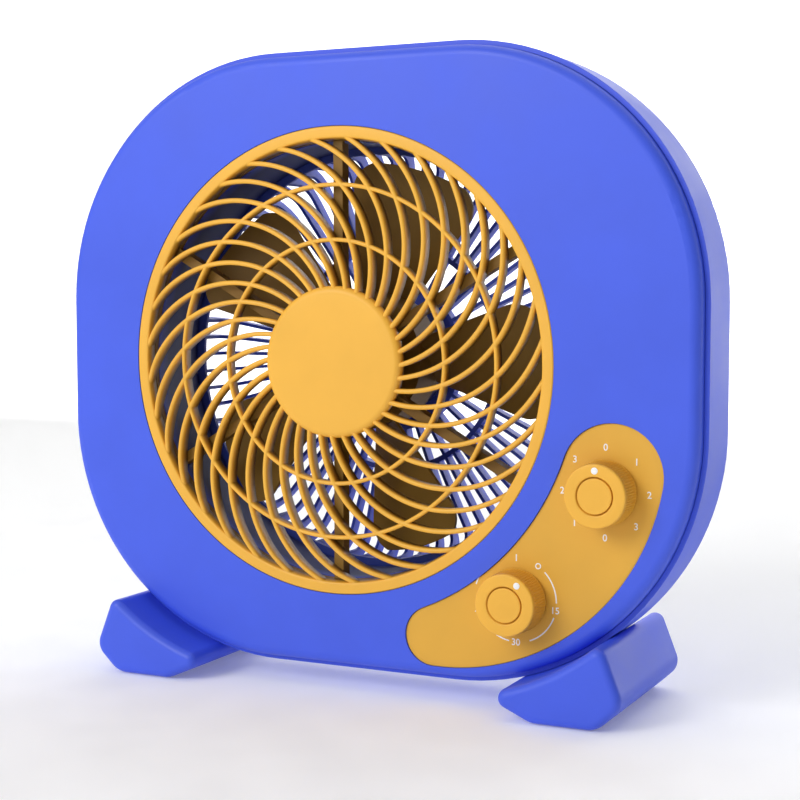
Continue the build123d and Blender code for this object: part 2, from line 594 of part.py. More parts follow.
with BuildPart() as stator_winding:
    with BuildSketch(turning_plane(AXIS_X, AXIS_Z)):
        ring_box(STATOR_BORE + 0.8, 28.0, STATOR_FRONT - 5.5, STATOR_FRONT)
        ring_box(STATOR_BORE + 0.8, 28.0, STATOR_BACK, STATOR_BACK + 5.5)
    revolve(axis=FAN_AXIS)
save("stator_winding", stator_winding.part)

with BuildPart() as motor_front_bell:
    with BuildSketch(turning_plane(AXIS_X, AXIS_Z)):
        ring_box(BEARING_HOUSING, BELL_RADIUS, BELL_FRONT, BELL_FRONT + BELL_WALL)
        ring_box(BELL_RADIUS - BELL_WALL, BELL_RADIUS, BELL_FRONT, STATOR_FRONT)
        ring_box(BEARING_RADIUS, BEARING_HOUSING, FRONT_BEARING[0], FRONT_BEARING[1])
    revolve(axis=FAN_AXIS)
    with BuildSketch(face_plane(BELL_FRONT)):
        with Locations(*MOTOR_SCREWS):
            Circle(1.9)
    extrude(amount=-BELL_WALL, mode=Mode.SUBTRACT)
save("motor_front_bell", motor_front_bell.part)

with BuildPart() as motor_rear_bell:
    with BuildSketch(turning_plane(AXIS_X, AXIS_Z)):
        ring_box(0, BELL_RADIUS, MOTOR_BACK - BELL_WALL / 2, MOTOR_BACK)
        ring_box(BELL_RADIUS - BELL_WALL, BELL_RADIUS, STATOR_BACK, MOTOR_BACK)
        ring_box(BEARING_RADIUS, BEARING_HOUSING, REAR_BEARING[0], MOTOR_BACK)
    revolve(axis=FAN_AXIS)
    with BuildSketch(face_plane(MOTOR_BACK + 1)):
        with Locations(*MOTOR_SCREWS):
            Circle(MOTOR_SCREW_HOLE)
    extrude(amount=BELL_WALL + 2, mode=Mode.SUBTRACT)
save("motor_rear_bell", motor_rear_bell.part)

screw("motor_screws", MOTOR_SCREWS, BELL_FRONT - 1.0, TOTAL_DEPTH - 2.6, 1.8, 3.6, 2.0)

# ---------------------------------------------------------------- control panel, switch, timer and knobs
BUSHING_RADIUS = 4.6
PANEL_FLANGE = 3.0
PANEL_RECESS = 1.0               # the panel's face lies this far behind the face of the housing
panel_face = panel_outline(face_plane(PANEL_RECESS), 0)
panel_flange = panel_outline(face_plane(WALL + SEAM), PANEL_FLANGE)

with BuildPart() as control_panel:
    extrude(panel_face, amount=-(WALL + SEAM - PANEL_RECESS))
    extrude(panel_flange, amount=-2.0)
    with BuildSketch(face_plane(-1)):
        with Locations((SPEED_X, SPEED_Z), (TIMER_X, TIMER_Z)):
            Circle(BUSHING_RADIUS + 0.15)
    extrude(amount=-10, mode=Mode.SUBTRACT)
save("control_panel", control_panel.part)

PANEL_BACK = WALL + SEAM + 2.0
SWITCH_SIZE = (30.0, 26.0, 20.0)
TIMER_RADIUS = 22.0
TIMER_LENGTH = 26.0
BUSHING_FRONT = -3.6

with BuildPart() as rotary_switch:
    with BuildSketch(face_plane(PANEL_BACK + SEAM, SPEED_X, SPEED_Z)):
        RectangleRounded(SWITCH_SIZE[0], SWITCH_SIZE[1], 3.0)
    extrude(amount=-SWITCH_SIZE[2])
    with BuildSketch(face_plane(PANEL_BACK + SEAM + SWITCH_SIZE[2], SPEED_X, SPEED_Z)):
        with GridLocations(6.0, 14.0, 4, 2):
            Rectangle(0.8, 4.8)
    extrude(amount=-7)
    with BuildSketch(face_plane(PANEL_BACK + 1, SPEED_X, SPEED_Z)):
        Circle(BUSHING_RADIUS)
    extrude(amount=PANEL_BACK + 1 - BUSHING_FRONT)
    with BuildSketch(face_plane(BUSHING_FRONT, SPEED_X, SPEED_Z)):
        Circle(CONTROL_SHAFT_RADIUS + RUNNING)
    extrude(amount=-(PANEL_BACK + 12 - BUSHING_FRONT), mode=Mode.SUBTRACT)
save("rotary_switch", rotary_switch.part)

with BuildPart() as timer_movement:
    with BuildSketch(face_plane(PANEL_BACK + SEAM, TIMER_X, TIMER_Z)):
        Circle(TIMER_RADIUS)
    extrude(amount=-TIMER_LENGTH)
    with BuildSketch(face_plane(PANEL_BACK + SEAM + TIMER_LENGTH, TIMER_X, TIMER_Z)):
        with GridLocations(12.0, 1.0, 2, 1):
            Rectangle(0.8, 6.3)
    extrude(amount=-7)
    with BuildSketch(face_plane(PANEL_BACK + 1, TIMER_X, TIMER_Z)):
        Circle(BUSHING_RADIUS)
    extrude(amount=PANEL_BACK + 1 - BUSHING_FRONT)
    with BuildSketch(face_plane(BUSHING_FRONT, TIMER_X, TIMER_Z)):
        Circle(CONTROL_SHAFT_RADIUS + RUNNING)
    extrude(amount=-(PANEL_BACK + 16 - BUSHING_FRONT), mode=Mode.SUBTRACT)
save("timer_movement", timer_movement.part)

with BuildPart() as control_nuts:
    for nut_x, nut_z in ((SPEED_X, SPEED_Z), (TIMER_X, TIMER_Z)):
        with BuildSketch(face_plane(PANEL_RECESS - SEAM, nut_x, nut_z)):
            RegularPolygon(7.0, 6)
            Circle(BUSHING_RADIUS + 0.05, mode=Mode.SUBTRACT)
        extrude(amount=2.2)
save("control_nuts", control_nuts.part)

KNOB_BASE = PANEL_RECESS - 1.2
KNOB_FACE = -KNOB_HEIGHT
KNOB_TAPER = 0.8
KNOB_CAVITY = 9.5
STEM_RADIUS = 5.5
CAP_RECESS = 1.6


def make_knob(prefix, x, z, shaft_back):
    """Knob, the round cap let into its face, and the spindle that it turns."""
    axis = y_axis(x, z)
    with BuildPart() as knob:
        with BuildSketch(turning_plane(x, z)):
            Polygon((0, KNOB_BASE), (KNOB_RADIUS, KNOB_BASE), (KNOB_RADIUS - KNOB_TAPER, KNOB_FACE), (0, KNOB_FACE),
                    align=None)
        revolve(axis=axis)
        fillet(knob.faces().sort_by(Axis.Y)[0].edges(), radius=1.0)
        with BuildSketch(turning_plane(x, z)):
            ring_box(0, KNOB_CAP_RADIUS + SEAM, KNOB_FACE - 1, KNOB_FACE + CAP_RECESS)
            ring_box(0, KNOB_CAVITY, BUSHING_FRONT - 1.0, KNOB_BASE + 1)
            ring_box(0, CONTROL_SHAFT_RADIUS, KNOB_FACE + 4, KNOB_BASE + 1)
            ring_box(STEM_RADIUS, KNOB_RADIUS - 3.5, KNOB_FACE + 5, KNOB_BASE + 1)
        revolve(axis=axis, mode=Mode.SUBTRACT)
    save(f"{prefix}_knob", knob.part)
    with BuildPart() as cap:
        with BuildSketch(turning_plane(x, z)):
            ring_box(0, KNOB_CAP_RADIUS - SEAM, KNOB_FACE, KNOB_FACE + CAP_RECESS)
        revolve(axis=axis)
        fillet(cap.faces().sort_by(Axis.Y)[0].edges(), radius=0.5)
    save(f"{prefix}_knob_cap", cap.part)
    with BuildPart() as spindle:
        with BuildSketch(face_plane(shaft_back, x, z)):
            Circle(CONTROL_SHAFT_RADIUS)
        extrude(amount=shaft_back - KNOB_FACE - 4)
    save(f"{prefix}_spindle", spindle.part)


make_knob("speed", SPEED_X, SPEED_Z, PANEL_BACK + 10)
make_knob("timer", TIMER_X, TIMER_Z, PANEL_BACK + 14)

# ---------------------------------------------------------------- electrical parts inside the housing
CAPACITOR_SIZE = (37.0, 15.0, 26.0)
CAPACITOR_X, CAPACITOR_Z = 160.0, BODY_Z + 26.0
TERMINAL_SIZE = (30.0, 14.0, 18.0)
TERMINAL_X, TERMINAL_Z = 158.0, BODY_Z - 8.0
REAR_WALL_INSIDE = SIDE_DEPTH - WALL - SEAM

with BuildPart() as capacitor:
    with BuildSketch(face_plane(REAR_WALL_INSIDE, CAPACITOR_X, CAPACITOR_Z)):
        RectangleRounded(CAPACITOR_SIZE[0], CAPACITOR_SIZE[2], 2.5)
    extrude(amount=CAPACITOR_SIZE[1])
save("capacitor", capacitor.part)

with BuildPart() as terminal_block:
    with BuildSketch(face_plane(REAR_WALL_INSIDE, TERMINAL_X, TERMINAL_Z)):
        Rectangle(TERMINAL_SIZE[0], TERMINAL_SIZE[2])
    extrude(amount=TERMINAL_SIZE[1])
    with BuildSketch(face_plane(REAR_WALL_INSIDE - TERMINAL_SIZE[1], TERMINAL_X, TERMINAL_Z)):
        with GridLocations(9.0, 9.0, 3, 2):
            Circle(2.4)
    extrude(amount=-8, mode=Mode.SUBTRACT)
save("terminal_block", terminal_block.part)

# ---------------------------------------------------------------- feet
FOOT_BOTTOM = 0.5
PAD_THICKNESS = 2.0
PAD_RECESS = PAD_THICKNESS - FOOT_BOTTOM + 0.05
FOOT_EDGE = 4.5
SADDLE_RADIUS = BODY_CORNER + SEAM
# corners of a foot seen from the front, from its inner tip round to its outer top
FOOT_CORNERS = ((78.0, 17.0), (116.0, FOOT_BOTTOM), (153.0, FOOT_BOTTOM), (168.5, 15.0), (154.0, 52.0))
FOOT_TIP = 5.5
PAD_X = 134.0
PAD_WIDTH = 28.0
PAD_LENGTH = TOTAL_DEPTH + FOOT_FRONT - 26.0
FOOT_MIDDLE = (TOTAL_DEPTH - FOOT_FRONT) / 2


def make_foot(name, side):
    """Soft-edged block whose top is hollowed to the round corner of the housing."""
    with BuildPart() as foot:
        with BuildSketch(face_plane(-FOOT_FRONT)) as outline:
            Polygon(*[(side * x, z) for x, z in FOOT_CORNERS], align=None)
            fillet(outline.vertices().group_by(Axis.Y)[0], radius=14.0)
            fillet(outline.vertices().sort_by(Axis.X)[-1 if side > 0 else 0], radius=10.0)
            with Locations((side * CORNER_X, CORNER_Z)):
                Circle(SADDLE_RADIUS, mode=Mode.SUBTRACT)
            fillet(outline.vertices().sort_by(Axis.Y)[-1], radius=FOOT_TIP)
            fillet(outline.vertices().sort_by(Axis.X)[0 if side > 0 else -1], radius=FOOT_TIP)
        extrude(amount=-(FOOT_FRONT + TOTAL_DEPTH))
        ends = foot.faces().filter_by(Axis.Y).edges()
        fillet(ends, radius=FOOT_EDGE)
        with BuildSketch(Plane.XY.offset(FOOT_BOTTOM)):
            with Locations((side * PAD_X, FACE_Y + FOOT_MIDDLE)):
                RectangleRounded(PAD_WIDTH + 0.4, PAD_LENGTH + 0.4, 6.0)
        extrude(amount=PAD_RECESS, mode=Mode.SUBTRACT)
        with BuildSketch(Plane.XY.offset(FOOT_BOTTOM)):
            with Locations(*[(side * FOOT_SCREW_X, FACE_Y + depth) for depth in FOOT_SCREW_DEPTHS]):
                Circle(2.0)
        extrude(amount=60, mode=Mode.SUBTRACT)
        with BuildSketch(Plane.XY.offset(FOOT_BOTTOM)):
            with Locations(*[(side * FOOT_SCREW_X, FACE_Y + depth) for depth in FOOT_SCREW_DEPTHS]):
                Circle(4.2)
        extrude(amount=14.5, mode=Mode.SUBTRACT)
    save(name, foot.part)


def make_foot_pad(name, side):
    with BuildPart() as pad:
        with BuildSketch(Plane.XY):
            with Locations((side * PAD_X, FACE_Y + FOOT_MIDDLE)):
                RectangleRounded(PAD_WIDTH, PAD_LENGTH, 6.0)
        extrude(amount=PAD_THICKNESS)
    save(name, pad.part)


for foot_name, foot_side in (("left", -1), ("right", 1)):
    make_foot(f"{foot_name}_foot", foot_side)
    make_foot_pad(f"{foot_name}_foot_pad", foot_side)

FOOT_SCREW_PLACES = [(side * FOOT_SCREW_X, FACE_Y + depth) for side in (-1, 1) for depth in FOOT_SCREW_DEPTHS]
with BuildPart() as foot_screws:
    with BuildSketch(Plane.XY.offset(12.5)):
        with Locations(*FOOT_SCREW_PLACES):
            Circle(3.6)
    extrude(amount=2.4)
    with BuildSketch(Plane.XY.offset(12.5)):
        with Locations(*FOOT_SCREW_PLACES):
            Circle(1.8)
    extrude(amount=36)
save("foot_screws", foot_screws.part)
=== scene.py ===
"""Looks of the box fan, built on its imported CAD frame.

Lengths in the tables are millimetres, as in the CAD model, and depths count back from the front face.
"""
import json
from math import acos, cos, pi, radians, sin

import bmesh
import bpy
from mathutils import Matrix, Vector


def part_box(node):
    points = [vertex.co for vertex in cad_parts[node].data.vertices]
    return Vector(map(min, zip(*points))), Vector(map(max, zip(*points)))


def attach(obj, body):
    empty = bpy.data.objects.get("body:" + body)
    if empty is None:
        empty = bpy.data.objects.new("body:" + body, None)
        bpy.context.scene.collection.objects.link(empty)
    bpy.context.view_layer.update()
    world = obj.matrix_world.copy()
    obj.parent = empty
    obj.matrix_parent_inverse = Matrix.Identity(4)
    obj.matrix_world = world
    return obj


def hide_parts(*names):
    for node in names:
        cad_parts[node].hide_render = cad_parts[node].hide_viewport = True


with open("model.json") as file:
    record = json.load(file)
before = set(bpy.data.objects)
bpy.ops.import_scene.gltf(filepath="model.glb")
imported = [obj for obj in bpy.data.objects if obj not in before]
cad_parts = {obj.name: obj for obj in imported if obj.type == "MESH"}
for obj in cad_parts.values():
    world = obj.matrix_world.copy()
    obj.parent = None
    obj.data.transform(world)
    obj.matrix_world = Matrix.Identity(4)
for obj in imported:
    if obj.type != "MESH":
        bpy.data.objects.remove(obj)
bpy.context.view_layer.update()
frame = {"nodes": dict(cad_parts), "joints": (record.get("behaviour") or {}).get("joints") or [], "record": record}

# ---------------------------------------------------------------- places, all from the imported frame
MM = 0.001
JOINTS = {joint["name"]: joint["pos_m"] for joint in frame["joints"]}
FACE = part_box("front_shell")[0].y
FAN = (JOINTS["grille_spin"][0], JOINTS["grille_spin"][2])
SPEED = (JOINTS["speed_turn"][0], JOINTS["speed_turn"][2])
TIMER = (JOINTS["timer_turn"][0], JOINTS["timer_turn"][2])
PANEL_FACE = (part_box("control_panel")[0].y - FACE) / MM

# ---------------------------------------------------------------- sizes (mm)
RING_OUTER = 135.35
RING_INNER = 128.6
RING_BACK = 6.0
RIB_COUNT = 36
RIB_ARC = 70.0
RIB_ARC_OFFSET = 70.9
RIB_WIDTH = 2.8
RIB_FRONT = -1.5
RIB_END = 129.6
HOOPS = (102.0, 70.5)
HOOP_WIDTH = 2.4
HUB_RADIUS = 44.0
HUB_FRONT = -3.0
HUB_EDGE = 4.0
KNOB_RADIUS = 18.0
KNOB_BASE = -0.2
KNOB_FACE = -17.5
KNOB_CAP = 10.0
FLUTES = 72
FLUTE_DEPTH = 0.6
CAP_GAP = 0.4
DOT_RADIUS = 1.9
DOT_PLACE = 13.6                 # from the knob axis
NUMERAL_SIZE = 5.3
ARC_HALF_WIDTH = 0.38
OFF_RING = (1.1, 1.75)           # inner and outer radius of the mark for off
ON_BAR = (0.35, 1.9)             # half width and half height of the mark for on
PRINT_RELIEF = 0.06


# ---------------------------------------------------------------- mesh tools
def new_object(name, bm, smooth=True):
    """A mesh object from a bmesh whose vertices are already in the frame, in metres."""
    bmesh.ops.recalc_face_normals(bm, faces=bm.faces)
    mesh = bpy.data.meshes.new(name)
    bm.to_mesh(mesh)
    bm.free()
    for polygon in mesh.polygons:
        polygon.use_smooth = smooth
    piece = bpy.data.objects.new(name, mesh)
    bpy.context.scene.collection.objects.link(piece)
    return piece


def point(centre, x, depth, z):
    """A point x right and z up from a centre on the front face (mm), and that deep (mm)."""
    return Vector((centre[0] + x * MM, FACE + depth * MM, centre[1] + z * MM))


def grid_faces(bm, rows, closed_rows, closed_columns):
    """Quads between rows of vertices; either direction may close on itself."""
    for i in range(len(rows) if closed_rows else len(rows) - 1):
        near, far = rows[i], rows[(i + 1) % len(rows)]
        for j in range(len(near) if closed_columns else len(near) - 1):
            k = (j + 1) % len(near)
            bm.faces.new((near[j], near[k], far[k], far[j]))


def turn(bm, centre, profile, steps, flute=None):
    """Turns a closed profile of (radius, depth) about an axis along Y.

    flute(radius, depth, angle) may change a radius.
    """
    rows = []
    for i in range(steps):
        angle = 2 * pi * i / steps
        row = []
        for radius, depth in profile:
            r = flute(radius, depth, angle) if flute else radius
            row.append(bm.verts.new(point(centre, r * cos(angle), depth, r * sin(angle))))
        rows.append(row)
    grid_faces(bm, rows, True, True)


def turn_solid(bm, centre, profile, steps, flute=None):
    """Turns an open profile whose first and last points lie on the axis."""
    start = bm.verts.new(point(centre, 0, profile[0][1], 0))
    end = bm.verts.new(point(centre, 0, profile[-1][1], 0))
    rows = []
    for i in range(steps):
        angle = 2 * pi * i / steps
        row = []
        for radius, depth in profile[1:-1]:
            r = flute(radius, depth, angle) if flute else radius
            row.append(bm.verts.new(point(centre, r * cos(angle), depth, r * sin(angle))))
        rows.append(row)
    grid_faces(bm, rows, True, False)
    for i, row in enumerate(rows):
        beyond = rows[(i + 1) % steps]
        bm.faces.new((start, row[0], beyond[0]))
        bm.faces.new((row[-1], end, beyond[-1]))


def corner(centre_r, centre_d, radius, start, end, steps=6):
    """Points of a rounded corner in a turned profile, angles in degrees, 90 towards larger depth."""
    made = []
    for i in range(steps + 1):
        angle = radians(start + (end - start) * i / steps)
        made.append((centre_r + radius * cos(angle), centre_d + radius * sin(angle)))
    return made


# ---------------------------------------------------------------- materials
def paint_cavity_shade(nodes, links, place, shader, mix, radius, shallow, deep, tone):
    """Painted shade: darkens the colour of recessed surfaces near the fan axis."""
    split = nodes.new("ShaderNodeSeparateXYZ")
    links.new(place.outputs["Object"], split.inputs["Vector"])
    flat = nodes.new("ShaderNodeCombineXYZ")
    links.new(split.outputs["X"], flat.inputs["X"])
    links.new(split.outputs["Z"], flat.inputs["Z"])
    reach = nodes.new("ShaderNodeVectorMath")
    reach.operation = "DISTANCE"
    reach.inputs[1].default_value = (FAN[0], 0, FAN[1])
    links.new(flat.outputs["Vector"], reach.inputs[0])
    near = nodes.new("ShaderNodeMapRange")
    near.inputs["From Min"].default_value = (radius + 0.5) * MM
    near.inputs["From Max"].default_value = (radius - 0.5) * MM
    links.new(reach.outputs["Value"], near.inputs["Value"])
    depth = nodes.new("ShaderNodeMapRange")
    depth.inputs["From Min"].default_value = FACE + shallow * MM
    depth.inputs["From Max"].default_value = FACE + deep * MM
    links.new(split.outputs["Y"], depth.inputs["Value"])
    painted_shade_share = nodes.new("ShaderNodeMath")
    painted_shade_share.operation = "MULTIPLY"
    links.new(near.outputs["Result"], painted_shade_share.inputs[0])
    links.new(depth.outputs["Result"], painted_shade_share.inputs[1])
    shade_mix = nodes.new("ShaderNodeMix")
    shade_mix.data_type = "RGBA"
    shade_mix.blend_type = "MULTIPLY"
    shade_mix.inputs["B"].default_value = (tone, tone, tone, 1)
    links.new(painted_shade_share.outputs["Value"], shade_mix.inputs["Factor"])
    links.new(mix.outputs["Result"], shade_mix.inputs["A"])
    links.new(shade_mix.outputs["Result"], shader.inputs["Base Color"])


def shade(name, colour, roughness, build=None, metallic=0.0, grain=1.0, wear=0.25, bevel=0.5, painted_cavity_shade=None):
    """Moulded or machined surface: fine grain, slow change of tone and gloss, rounded and slightly worn edges.

    The painted cavity shade argument is (radius about the fan axis, shallow depth, deep depth, tone), all but the
    tone in
    millimetres: it paints shade, so within that radius the colour falls to that tone from the shallow to the deep
    end.
    """
    material = bpy.data.materials.new(name)
    material.use_nodes = True
    tree = material.node_tree
    nodes, links = tree.nodes, tree.links
    shader = nodes["Principled BSDF"]
    shader.inputs["Metallic"].default_value = metallic
    shader.inputs["IOR"].default_value = 1.46
    place = nodes.new("ShaderNodeTexCoord")

    slow = nodes.new("ShaderNodeTexNoise")
    slow.inputs["Scale"].default_value = 22.0
    slow.inputs["Detail"].default_value = 4.0
    links.new(place.outputs["Object"], slow.inputs["Vector"])
    fine = nodes.new("ShaderNodeTexNoise")
    fine.inputs["Scale"].default_value = 1500.0
    fine.inputs["Detail"].default_value = 2.0
    links.new(place.outputs["Object"], fine.inputs["Vector"])

    # edges: where a rounded normal leaves the true one
    rounded = nodes.new("ShaderNodeBevel")
    rounded.samples = 4
    rounded.inputs["Radius"].default_value = bevel * MM
    geometry = nodes.new("ShaderNodeNewGeometry")
    agree = nodes.new("ShaderNodeVectorMath")
    agree.operation = "DOT_PRODUCT"
    links.new(rounded.outputs["Normal"], agree.inputs[0])
    links.new(geometry.outputs["Normal"], agree.inputs[1])
    edge = nodes.new("ShaderNodeMapRange")
    edge.inputs["From Min"].default_value = 0.995
    edge.inputs["From Max"].default_value = 0.86
    edge.inputs["To Max"].default_value = wear
    links.new(agree.outputs["Value"], edge.inputs["Value"])
    patch = nodes.new("ShaderNodeMath")
    patch.operation = "MULTIPLY"
    links.new(edge.outputs["Result"], patch.inputs[0])
    links.new(slow.outputs["Fac"], patch.inputs[1])

    tint = nodes.new("ShaderNodeValToRGB")
    low, high = tint.color_ramp.elements
    low.position, high.position = 0.3, 0.7
    low.color = (*[c * 0.955 for c in colour], 1)
    high.color = (*[min(1.0, c * 1.035) for c in colour], 1)
    links.new(slow.outputs["Fac"], tint.inputs["Fac"])
    mix = nodes.new("ShaderNodeMix")
    mix.data_type = "RGBA"
    mix.inputs["B"].default_value = (*[min(1.0, c * 1.25 + 0.03) for c in colour], 1)
    links.new(patch.outputs["Value"], mix.inputs["Factor"])
    links.new(tint.outputs["Color"], mix.inputs["A"])
    links.new(mix.outputs["Result"], shader.inputs["Base Color"])
    # painted shade: recessed surfaces near the fan axis get a darker colour
    if painted_cavity_shade:
        paint_cavity_shade(nodes, links, place, shader, mix, *painted_cavity_shade)

    gloss = nodes.new("ShaderNodeMapRange")
    gloss.inputs["From Min"].default_value = 0.3
    gloss.inputs["From Max"].default_value = 0.7
    gloss.inputs["To Min"].default_value = roughness - 0.045
    gloss.inputs["To Max"].default_value = roughness + 0.045
    links.new(slow.outputs["Fac"], gloss.inputs["Value"])
    links.new(gloss.outputs["Result"], shader.inputs["Roughness"])

    bump = nodes.new("ShaderNodeBump")
    bump.inputs["Strength"].default_value = 0.10 * grain
    bump.inputs["Distance"].default_value = 0.12 * MM
    links.new(fine.outputs["Fac"], bump.inputs["Height"])
    links.new(rounded.outputs["Normal"], bump.inputs["Normal"])
    links.new(bump.outputs["Normal"], shader.inputs["Normal"])
    if build:
        build(nodes, links, place, shader, bump)
    return material


def lines(scale, strength, bands_axis="Y", distortion=0.0):
    """Adds fine parallel ridges to a material's bump, for laminations, wire and turned metal."""
    def build(nodes, links, place, shader, bump):
        wave = nodes.new("ShaderNodeTexWave")
        wave.bands_direction = bands_axis
        wave.inputs["Scale"].default_value = scale
        wave.inputs["Distortion"].default_value = distortion
        links.new(place.outputs["Object"], wave.inputs["Vector"])
        ridge = nodes.new("ShaderNodeBump")
        ridge.inputs["Strength"].default_value = strength
        ridge.inputs["Distance"].default_value = 0.2 * MM
        links.new(wave.outputs["Fac"], ridge.inputs["Height"])
        links.new(bump.outputs["Normal"], ridge.inputs["Normal"])
        links.new(ridge.outputs["Normal"], shader.inputs["Normal"])
    return build


BLUE = (0.056, 0.116, 0.80)
YELLOW = (0.90, 0.475, 0.052)
materials = {
    "blue_plastic": shade("blue_plastic", BLUE, 0.46),
    "yellow_plastic": shade("yellow_plastic", YELLOW, 0.44),
    "black_rubber": shade("black_rubber", (0.025, 0.025, 0.027), 0.74, grain=2.2, wear=0.12),
    "zinc_steel": shade("zinc_steel", (0.58, 0.59, 0.60), 0.34, metallic=1.0, grain=0.8, wear=0.4, bevel=0.25),
    "shaft_steel": shade("shaft_steel", (0.50, 0.50, 0.52), 0.26, lines(900, 0.15), metallic=1.0, grain=0.6),
    "motor_steel": shade("motor_steel", (0.36, 0.36, 0.37), 0.42, lines(320, 0.5), metallic=1.0),
    "motor_alloy": shade("motor_alloy", (0.56, 0.57, 0.58), 0.48, metallic=1.0, grain=3.0),
    "copper_wire": shade("copper_wire", (0.48, 0.17, 0.06), 0.33, lines(420, 0.9, "X", 2.0), grain=1.4),
    "bearing_bronze": shade("bearing_bronze", (0.50, 0.33, 0.16), 0.50, metallic=1.0, grain=2.5),
    "black_plastic": shade("black_plastic", (0.030, 0.030, 0.034), 0.50),
    "white_plastic": shade("white_plastic", (0.74, 0.73, 0.70), 0.42),
}
print_white = shade("print_white", (0.93, 0.94, 0.95), 0.55, grain=0.3, wear=0.0, bevel=0.1)

# painted shade: the fan's interior is painted darker than its outside, which plain soft light wouldn't do by
# itself
IMPELLER_PAINTED_SHADE = 0.26
SPIDER_PAINTED_SHADE = 0.30
own_material = {
    # painted shade: the panel's yellow is a darker copy of the same plastic's yellow
    "control_panel": shade("panel_yellow_painted_shade", (0.79, 0.425, 0.046), 0.46),
    # painted shade: within the ring the duct's blue darkens from 4 to 20 mm deep
    "front_shell": shade("duct_blue_painted_shade", BLUE, 0.46, painted_cavity_shade=(136.5, 4.0, 20.0, 0.16)),
    # painted shade: the rear guard's blue darkens towards its front, within 150 mm of the fan axis
    "rear_grille": shade("guard_blue_painted_shade", BLUE, 0.46, painted_cavity_shade=(150.0, 96.0, 60.0, 0.45)),
    # painted shade: the impeller is a dark copy of the yellow plastic
    "impeller": shade("impeller_yellow_painted_shade", [c * IMPELLER_PAINTED_SHADE for c in YELLOW], 0.55),
    "impeller_nut": shade("nut_black", (0.03, 0.03, 0.034), 0.5),
    # painted shade: the spider is a dark copy of the yellow plastic
    "spider": shade("spider_yellow_painted_shade", [c * SPIDER_PAINTED_SHADE for c in YELLOW], 0.55),
}
# painted shade: rib, hoop and ring sides darken with depth behind their fronts
grille_yellow_painted_shade = shade("grille_yellow_painted_shade", YELLOW, 0.44, painted_cavity_shade=(140.0, 0.4, 5.5, 0.28))

slot_of = {part["node"]: part["material_slot"] for part in frame["record"]["subparts"]}
for node_name, node in frame["nodes"].items():
    node.data.materials.clear()
    node.data.materials.append(own_material.get(node_name) or materials[slot_of[node_name]])


def dress(piece, body, slot, *stands_for, material=None):
    piece.data.materials.append(material or materials[slot])
    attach(piece, body)
    if stands_for:
        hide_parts(*stands_for)


# ---------------------------------------------------------------- front grille: ring, hoops and spiral ribs
def rib_centre(radius):
    """Middle of a rib at a radius from the fan axis: an arc whose own centre lies off the axis."""
    swing = acos((radius ** 2 + RIB_ARC_OFFSET ** 2 - RIB_ARC ** 2) / (2 * radius * RIB_ARC_OFFSET))
    return radius * cos(swing), -radius * sin(swing)


def bar_section(width, front, back):
    """Cross-section of a rib or hoop, (across, depth): straight sides and a round front."""
    half = width / 2
    nose = [(half * cos(radians(a)), front + half * (1 - sin(radians(a)))) for a in range(0, 181, 20)]
    return [(half * 0.8, back)] + nose + [(-half * 0.8, back)]


def sweep(bm, centre, line, section, closed):
    """Runs a section of (across, depth) along a line of (x, z, extra depth) points on the face."""
    rows = []
    count = len(line)
    for i, (x, z, sunk) in enumerate(line):
        ahead = line[(i + 1) % count] if closed or i < count - 1 else line[i]
        behind = line[i - 1] if closed or i else line[i]
        along = Vector((ahead[0] - behind[0], ahead[1] - behind[1])).normalized()
        rows.append([bm.verts.new(point(centre, x + along.y * a, min(d + sunk, section[0][1]), z - along.x * a))
                     for a, d in section])
    grid_faces(bm, rows, closed, True)
    if not closed:
        bm.faces.new(rows[0])
        bm.faces.new(reversed(rows[-1]))


def circle_line(radius, steps):
    return [(radius * cos(2 * pi * i / steps), radius * sin(2 * pi * i / steps), 0.0) for i in range(steps)]


grille = bmesh.new()
ring_profile = [(RING_INNER - 1.2, RING_BACK), (RING_INNER - 0.6, 2.6)]
ring_profile += corner(RING_INNER + 1.1, 1.3, 1.3, 190, 270)
ring_profile += corner(RING_OUTER - 1.0, 1.0, 1.0, 270, 360)
ring_profile += [(RING_OUTER, RING_BACK)]
turn(grille, FAN, ring_profile, 256)
rib_section = bar_section(RIB_WIDTH, RIB_FRONT, RING_BACK)
inner_end = HUB_RADIUS - 2.4
for rib in range(RIB_COUNT):
    turned = 2 * pi * rib / RIB_COUNT
    line = []
    for i in range(41):
        radius = inner_end + (RIB_END - inner_end) * i / 40
        x, z = rib_centre(radius)
        sunk = 2.4 * max(0.0, (radius - RIB_END + 9.0) / 9.0) ** 2
        line.append((x * cos(turned) - z * sin(turned), x * sin(turned) + z * cos(turned), sunk))
    sweep(grille, FAN, line, rib_section, False)
for hoop in HOOPS:
    sweep(grille, FAN, circle_line(hoop, 216), bar_section(HOOP_WIDTH, RIB_FRONT + 0.25, RING_BACK), True)
plate_edge = HUB_RADIUS - 1.0
plate = [(0, 3.2), (plate_edge - 0.6, 3.2), (plate_edge, 3.8), (plate_edge, RING_BACK), (0, RING_BACK)]
turn_solid(grille, FAN, plate, 128)
spiral_grille = new_object("spiral_grille", grille)
dress(spiral_grille, "front_grille", "yellow_plastic", "front_grille", material=grille_yellow_painted_shade)

hub = bmesh.new()
hub_profile = [(0, HUB_FRONT), (12.0, HUB_FRONT + 0.02), (26.0, HUB_FRONT + 0.12), (34.0, HUB_FRONT + 0.24)]
hub_profile += corner(HUB_RADIUS - HUB_EDGE, HUB_FRONT + 0.34 + HUB_EDGE, HUB_EDGE, 270, 360, 10)
hub_profile += [(HUB_RADIUS, 3.0), (HUB_RADIUS - 1.4, 3.0), (0, 3.0)]
turn_solid(hub, FAN, hub_profile, 192)
hub_disc = new_object("hub_disc", hub)
dress(hub_disc, "front_grille", "yellow_plastic", "hub_cap")


